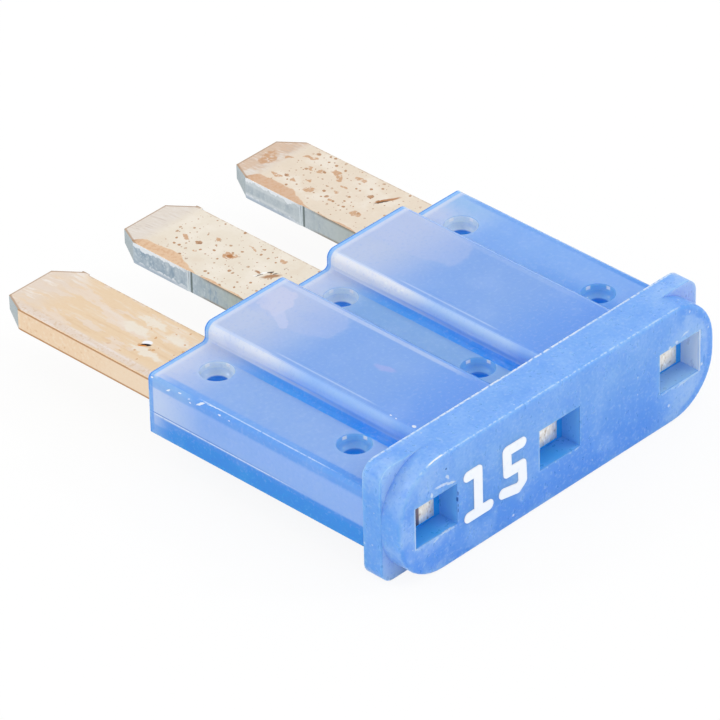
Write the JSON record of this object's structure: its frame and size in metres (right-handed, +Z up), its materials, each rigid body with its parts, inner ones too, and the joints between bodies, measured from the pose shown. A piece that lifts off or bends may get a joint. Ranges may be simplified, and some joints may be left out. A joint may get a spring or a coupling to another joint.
{
  "type": "automotive blade fuse",
  "caption": "Plug-in automotive fuse: a stamped metal element with flat blades, test tabs and thin fuse links, held in a hollow translucent plastic housing with a flanged head.",
  "frame": {"origin": "middle of the box around the fuse, on the surface that it lies on", "axes": "+X across the blades, +Y from the head to the blade tips, +Z up out of the flat side that it lies on"},
  "size_m": [0.0144, 0.0182, 0.0042],
  "materials": {
    "blue_plastic": "milky translucent moulding, glossy on the body and finely scuffed on the head",
    "plated_copper": "cream plating over copper alloy, worn through in specks and along the edges"
  },
  "bodies": {
    "root": {"housing": "blue_plastic", "fuse_element": "plated_copper"}
  },
  "joints": []
}
